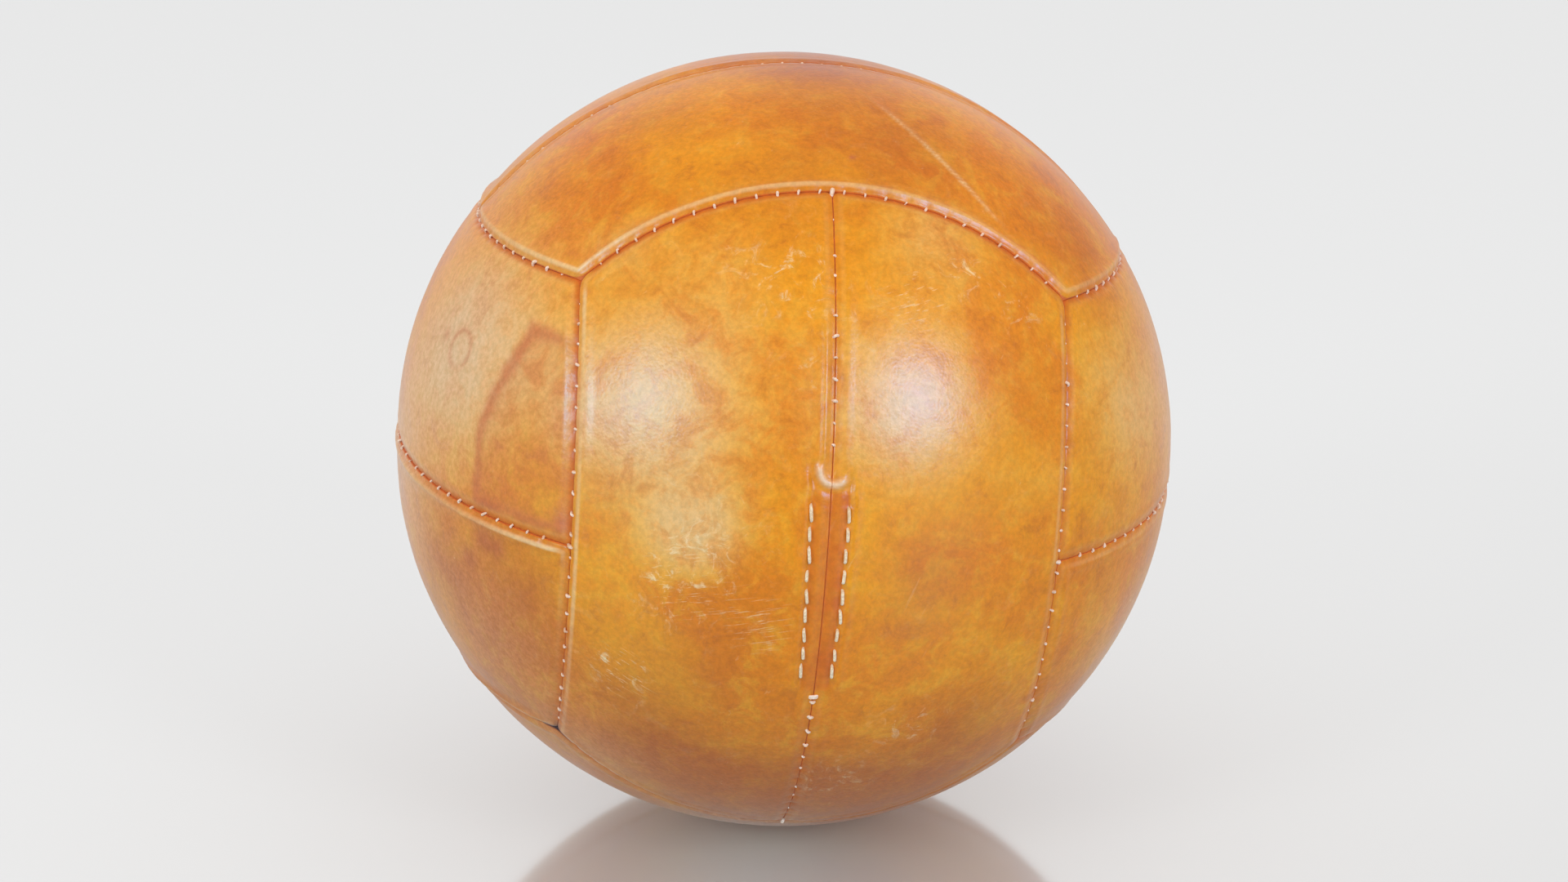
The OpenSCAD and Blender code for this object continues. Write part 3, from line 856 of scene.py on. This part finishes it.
def leather():
    """Waxed hide, worn by use: clouded colour, rubbed and scratched places, dark seams, and painted
    highlights, sheen and shade.
    """
    p = Paint("leather_hide")
    seam, pride = p.attribute("seam_mm"), p.attribute("pride")
    cloud = p.noise(16, 6, 0.62, 0.5)
    flecks = p.noise(95, 7, 0.72, 0.6)
    fine = p.noise(520, 4, 0.7)
    colour = p.mix(p.step(cloud, 0.38, 0.62), ORANGE, AMBER)
    colour = p.mix(p.times(p.step(flecks, 0.48, 0.66), 0.50), colour, HONEY)
    colour = p.mix(p.times(p.step(flecks, 0.47, 0.30), 0.45), colour, RUSSET)
    # darker, redder areas: the hide's own tone, and painted shade towards the bottom and on top
    dark = p.times(p.attribute("dark"), p.step(flecks, 0.25, 0.75, 1.15, 0.75))
    colour = p.mix(dark, colour, RUSSET)
    # paler areas, partly the hide's tone and partly painted highlight and sheen, turn yellow first, then
    # straw
    light = p.attribute("light")
    yellow = p.times(p.step(light, 0.0, 0.45, 0.0, 0.75), p.step(flecks, 0.36, 0.60, 0.25, 1.0))
    colour = p.mix(yellow, colour, HONEY)
    straw = p.times(p.step(light, 0.10, 1.0, 0.0, 1.1), p.step(flecks, 0.34, 0.62, 0.45, 1.0))
    colour = p.mix(straw, colour, STRAW)
    # dust, and painted sheen on the rims and the underside
    dust_and_sheen = p.times(p.attribute("dust_and_sheen"), p.step(fine, 0.25, 0.75, 0.6, 1.2))
    colour = p.mix(dust_and_sheen, colour, DUST_AND_SHEEN)
    stain = p.times(p.attribute("stain"), p.step(flecks, 0.3, 0.7, 0.44, 0.15))
    colour = p.mix(stain, colour, TIDE)
    colour = p.mix(p.times(p.attribute("stain_rim"), 0.62), colour, TIDE)
    # rubbed places break up into flecks, and scratches run two ways
    scuff = p.times(p.attribute("rubbed"), p.step(p.noise(130, 7, 0.72, 1.2), 0.50, 0.68))
    scratch = p.attribute("scratch")
    rising = p.noise(1, 3, 0.6, 0.2, p.stretched(math.radians(14), (70, 400, 1500)))
    falling = p.noise(1, 3, 0.6, 0.2, p.stretched(math.radians(-26), (70, 400, 1500)))
    lines = p.plus(
        p.times(p.step(rising, 0.56, 0.66), p.step(scratch, 0.1, 0.8)),
        p.times(p.step(falling, 0.56, 0.66), p.step(scratch, -0.1, -0.8)),
    )
    stray = p.noise(1, 2, 0.5, 0.4, p.stretched(math.radians(65), (30, 500, 500)))
    lines = p.plus(lines, p.times(p.step(stray, 0.71, 0.76), 0.5))
    crease = p.times(p.attribute("crease"), p.step(flecks, 0.3, 0.6, 0.4, 0.8))
    worn = p.plus(p.times(scuff, 0.66), p.times(lines, 0.38), p.times(crease, 0.6))
    colour = p.mix(p.step(worn, 0.0, 1.0), colour, CREAM)
    # the proud edge is painted pale, as wear and a painted highlight on its ridge; the edge below it, as
    # dye and painted shade
    # painted highlight, with wear: a pale band along the rolled ridge of the proud edge
    ridge = p.times(p.step(seam, 1.2, 2.2), p.step(seam, 3.8, 2.7), p.step(pride, -0.1, 0.8, 0.06, 0.62))
    ridge = p.times(ridge, p.attribute("worn_and_highlit_edge"), p.step(cloud, 0.4, 0.6, 0.7, 1.0))
    colour = p.mix(ridge, colour, CREAM)
    # painted shade, with the dye: a dark red band beside the seam on the panel that tucks under
    hollow = p.times(p.step(seam, 3.0, 0.6), p.step(pride, -0.2, -0.9, 0.22, 0.80))
    colour = p.mix(hollow, colour, SEAM_RED)
    strip = p.times(p.attribute("strip"), p.step(p.noise(60, 3), 0.35, 0.65, 0.50, 0.88))
    colour = p.mix(strip, colour, SEAM_RED)
    # painted highlight: a pale U along the lip above the slit
    colour = p.mix(p.times(p.attribute("lip"), 0.70), colour, LIP_HIGHLIGHT)
    colour = p.mix(p.step(seam, 0.32, 0.08), colour, SEAM_DARK)
    # painted shadow: near-black where the seam has begun to open
    colour = p.mix(p.times(p.attribute("open_seam_shadow"), p.step(seam, 2.0, 0.6)), colour, OPEN_SEAM_SHADOW)
    tint = p.step(fine, 0.3, 0.7, 0.90, 1.08)
    colour = p.mix(1.0, colour, grey(p, tint), "MULTIPLY")
    rough = p.plus(p.step(flecks, 0.3, 0.7, 0.30, 0.37), p.times(worn, 0.10))
    p.set(Base_Color=colour, Roughness=rough, Specular_IOR_Level=0.2)
    p.set(Sheen_Weight=0.10, Sheen_Roughness=0.5)
    pores = p.times(p.cells(1100), -1.0)
    relief = p.plus(pores, p.times(fine, 0.9), p.times(flecks, 0.9), p.times(lines, 0.5))
    p.bump(relief, 0.14, 0.00035)
    return p.material


def grey(p, value):
    """A grey from one number."""
    n = p.node("ShaderNodeCombineColor")
    for channel in range(3):
        p.put(n.inputs[channel], value)
    return n.outputs[0]


def thread_paint(name, dark, light, soiled):
    """Waxed linen thread, twisted and a little soiled."""
    p = Paint(name)
    twist = p.noise(1400, 2, 0.5)
    colour = p.mix(p.step(twist, 0.35, 0.65), dark, light)
    colour = p.mix(p.step(p.noise(120, 3, 0.6), 0.52, 0.72), colour, soiled)
    p.set(Base_Color=colour, Roughness=0.7, Specular_IOR_Level=0.08)
    p.bump(twist, 0.5, 0.0003)
    return p.material


def canvas_paint():
    """Plain-woven cotton lining."""
    p = Paint("canvas_lining")
    warp = p.node("ShaderNodeTexWave", bands_direction="X")
    weft = p.node("ShaderNodeTexWave", bands_direction="Z")
    for wave in (warp, weft):
        p.put(wave.inputs["Vector"], p.object)
        wave.inputs["Scale"].default_value = 260
        wave.inputs["Distortion"].default_value = 1.2
    weave = p.math("MAXIMUM", warp.outputs["Fac"], weft.outputs["Fac"])
    colour = p.mix(weave, (0.42, 0.33, 0.22), (0.72, 0.62, 0.46))
    colour = p.mix(p.step(p.noise(30, 4), 0.45, 0.8), colour, (0.48, 0.34, 0.2))
    p.set(Base_Color=colour, Roughness=0.9)
    p.bump(weave, 0.6, 0.0005)
    return p.material


def fibre_paint(name, light, dark, scale):
    """Matted fibres: felt, wadding or hair."""
    p = Paint(name)
    strands = p.noise(1, 5, 0.7, 1.5, p.stretched(0.6, (scale, scale * 4, scale * 4)))
    colour = p.mix(p.step(strands, 0.35, 0.65), dark, light)
    p.set(Base_Color=colour, Roughness=0.95)
    p.bump(strands, 0.8, 0.001)
    return p.material


def strip_paint():
    """Raw-backed strip leather under the slit."""
    p = Paint("strip_leather")
    nap = p.noise(300, 6, 0.7)
    colour = p.mix(p.step(nap, 0.35, 0.65), (0.35, 0.13, 0.035), (0.52, 0.22, 0.07))
    p.set(Base_Color=colour, Roughness=0.7)
    p.bump(nap, 0.5, 0.0005)
    return p.material


# ---- Assembly -------------------------------------------------------------------------------

def stand_for(piece, node, material):
    piece.data.materials.append(material)
    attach(piece, BODY)
    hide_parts(node)


LEATHER = leather()
THREAD = thread_paint("seam_thread", (0.82, 0.52, 0.34), (0.92, 0.68, 0.52), (0.74, 0.42, 0.24))
ROW_THREAD = thread_paint("row_thread", (0.74, 0.49, 0.28), (0.90, 0.69, 0.46), (0.70, 0.42, 0.20))

for name in PANELS:
    panel = build_panel(name)
    stand_for(panel, "panel_" + name, LEATHER)

for name, (axis, middle) in EDGE_SEAMS.items():
    thread = build_thread(name, axis, middle, EDGE_LAT, edge_places)
    stand_for(thread, "seam_thread_" + name, THREAD)
for name, (axis, middle) in MIDDLE_SEAMS.items():
    thread = build_thread(name, axis, middle, 0, middle_places)
    stand_for(thread, "seam_thread_" + name, THREAD)
for name, places in (("front_middle_upper", upper_places), ("front_middle_lower", lower_places)):
    thread = build_thread(name, LEFT, FRONT, 0, places)
    stand_for(thread, "seam_thread_" + name, THREAD)
stand_for(build_row("left", -1), "slit_stitches_left", ROW_THREAD)
stand_for(build_row("right", 1), "slit_stitches_right", ROW_THREAD)
stand_for(build_tack(), "slit_end_tack", THREAD)

INSIDE = {
    "lining_": canvas_paint(),
    "wadding_pads": fibre_paint("wadding_felt", (0.62, 0.58, 0.50), (0.40, 0.36, 0.30), 90),
    "wadding_wrap": fibre_paint("wrap_felt", (0.55, 0.50, 0.42), (0.34, 0.30, 0.25), 70),
    "filling_core": fibre_paint("hair_filling", (0.30, 0.20, 0.12), (0.12, 0.08, 0.05), 140),
    "slit_facing_": strip_paint(),
    "slit_tongue": strip_paint(),
    "closing_lace": THREAD,
}
for node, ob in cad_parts.items():
    for start, material in INSIDE.items():
        if node.startswith(start):
            for material_slot in ob.material_slots:
                material_slot.material = material

# ---- Stage ----------------------------------------------------------------------------------

CAMERA_AZ = math.radians(-6.92)
CAMERA_EL = math.radians(19.04)
CAMERA_ROLL = math.radians(4.34)
CAMERA_DISTANCE = 7.329 * BALL_R * MM
SENSOR_MM = 36.0
LENS_MM = 64.6
SHIFT = (0.0003, -0.0013)
FLOOR_TILT = math.radians(16.5)
FLOOR_HALF = 12.0
LAMP_DISTANCE = 3.0
LAMP_SIZE = 0.90
LAMP_WATTS = 17.0
LAMP_COLOUR = (0.94, 0.98, 1.0)
# The lamps that only shine: their power and the colours of their highlights
GLOSS_WATTS = 103.0
GLOSS_LEFT = (0.13, 0.70, 1.08)
GLOSS_RIGHT = (0.18, 0.68, 1.34)
# Where the lamps stand: right, up and back, as the camera looks
KEY_LEFT = (-0.629, 0.187, 0.752)
KEY_RIGHT = (0.601, 0.187, 0.777)
WORLD_STRENGTH = 0.92
# What reflections see in place of that: a dark room with a bright back
MIRROR_FRONT = 0.06
MIRROR_BACK = 1.02
BACK_BEGINS = 0.58
BACK_FULL = 0.94
FLOOR_WHITE = (0.73, 0.73, 0.73, 1)
FLOOR_GLOW = 0.05
FLOOR_MIRROR = 0.50
FLOOR_BLUR = 0.10


def facing(direction):
    """The rotation that turns +Z towards a direction."""
    return direction.to_track_quat("Z", "Y").to_matrix().to_4x4()


def link(name, data):
    ob = bpy.data.objects.new(name, data)
    bpy.context.scene.collection.objects.link(ob)
    return ob


camera = link("camera", bpy.data.cameras.new("camera"))
bpy.context.scene.camera = camera
towards_camera = Vector((
    math.sin(CAMERA_AZ) * math.cos(CAMERA_EL),
    -math.cos(CAMERA_AZ) * math.cos(CAMERA_EL),
    math.sin(CAMERA_EL),
))
stand = Matrix.Translation(towards_camera * CAMERA_DISTANCE)
camera.matrix_world = stand @ facing(towards_camera) @ Matrix.Rotation(CAMERA_ROLL, 4, "Z")
camera.data.sensor_width = SENSOR_MM
camera.data.lens = LENS_MM
camera.data.shift_x, camera.data.shift_y = SHIFT
bpy.context.view_layer.update()
camera_right, camera_up, camera_back = (c.copy() for c in camera.matrix_world.to_3x3().transposed())


def floor_paint():
    """Pale polished floor: matt white and mirror in equal parts, with a little glow of its own."""
    p = Paint("floor_paint")
    matt, mirror = p.node("ShaderNodeBsdfDiffuse"), p.node("ShaderNodeBsdfGlossy")
    matt.inputs["Color"].default_value = FLOOR_WHITE
    mirror.inputs["Roughness"].default_value = FLOOR_BLUR
    both = p.node("ShaderNodeMixShader")
    both.inputs[0].default_value = FLOOR_MIRROR
    p.put(both.inputs[1], matt.outputs[0])
    p.put(both.inputs[2], mirror.outputs[0])
    glow, lit = p.node("ShaderNodeEmission"), p.node("ShaderNodeAddShader")
    glow.inputs["Strength"].default_value = FLOOR_GLOW
    p.put(lit.inputs[0], both.outputs[0])
    p.put(lit.inputs[1], glow.outputs[0])
    p.put(p.output.inputs["Surface"], lit.outputs[0])
    p.tree.nodes.remove(p.shader)
    return p.material


def build_floor():
    """A wide pale floor that the ball rests on, tipped as the ball lies on it."""
    up = camera_up * math.cos(FLOOR_TILT) + camera_back * math.sin(FLOOR_TILT)
    mesh = bpy.data.meshes.new("floor")
    corners = [(x * FLOOR_HALF, y * FLOOR_HALF, 0) for x, y in ((-1, -1), (1, -1), (1, 1), (-1, 1))]
    mesh.from_pydata(corners, [], [(0, 1, 2, 3)])
    floor = link("floor", mesh)
    floor.matrix_world = Matrix.Translation(-up * BALL_R * MM) @ facing(up)
    mesh.materials.append(floor_paint())


def soft_lamp(name, aim, watts, colour, gloss_only):
    """A round lamp. One of each pair lights the colours, and the other only the shine."""
    data = bpy.data.lights.new(name, "AREA")
    data.shape = "DISK"
    data.size = LAMP_SIZE
    data.energy = watts
    data.color = colour
    lamp = link(name, data)
    lamp.visible_diffuse = not gloss_only
    lamp.visible_glossy = gloss_only
    right, up, back = aim
    direction = (camera_right * right + camera_up * up + camera_back * back).normalized()
    lamp.matrix_world = Matrix.Translation(direction * LAMP_DISTANCE) @ facing(direction)


def light_the_room():
    """Even white light from all round. What is seen in a reflection is a dark room with a
    bright back, which fades in between BACK_BEGINS and BACK_FULL along +Y."""
    world = bpy.data.worlds.new("studio")
    world.use_nodes = True
    nodes, links = world.node_tree.nodes, world.node_tree.links
    in_mirror = nodes.new("ShaderNodeLightPath").outputs["Is Glossy Ray"]
    direction = nodes.new("ShaderNodeTexCoord").outputs["Generated"]
    split = nodes.new("ShaderNodeSeparateXYZ")
    links.new(direction, split.inputs[0])
    mirrored = nodes.new("ShaderNodeMapRange")
    mirrored.interpolation_type = "SMOOTHSTEP"
    links.new(split.outputs["Y"], mirrored.inputs["Value"])
    mirrored.inputs["From Min"].default_value = BACK_BEGINS
    mirrored.inputs["From Max"].default_value = BACK_FULL
    mirrored.inputs["To Min"].default_value = MIRROR_FRONT
    mirrored.inputs["To Max"].default_value = MIRROR_BACK
    strength = nodes.new("ShaderNodeMix")
    strength.inputs["A"].default_value = WORLD_STRENGTH
    links.new(in_mirror, strength.inputs["Factor"])
    links.new(mirrored.outputs[0], strength.inputs["B"])
    background = nodes["Background"]
    background.inputs["Color"].default_value = (1, 1, 1, 1)
    links.new(strength.outputs["Result"], background.inputs["Strength"])
    bpy.context.scene.world = world


build_floor()
for name, aim, gloss in (("left", KEY_LEFT, GLOSS_LEFT), ("right", KEY_RIGHT, GLOSS_RIGHT)):
    soft_lamp("key_" + name, aim, LAMP_WATTS, LAMP_COLOUR, False)
    soft_lamp("gloss_" + name, aim, GLOSS_WATTS, gloss, True)
light_the_room()
bpy.context.scene.view_settings.view_transform = "Standard"
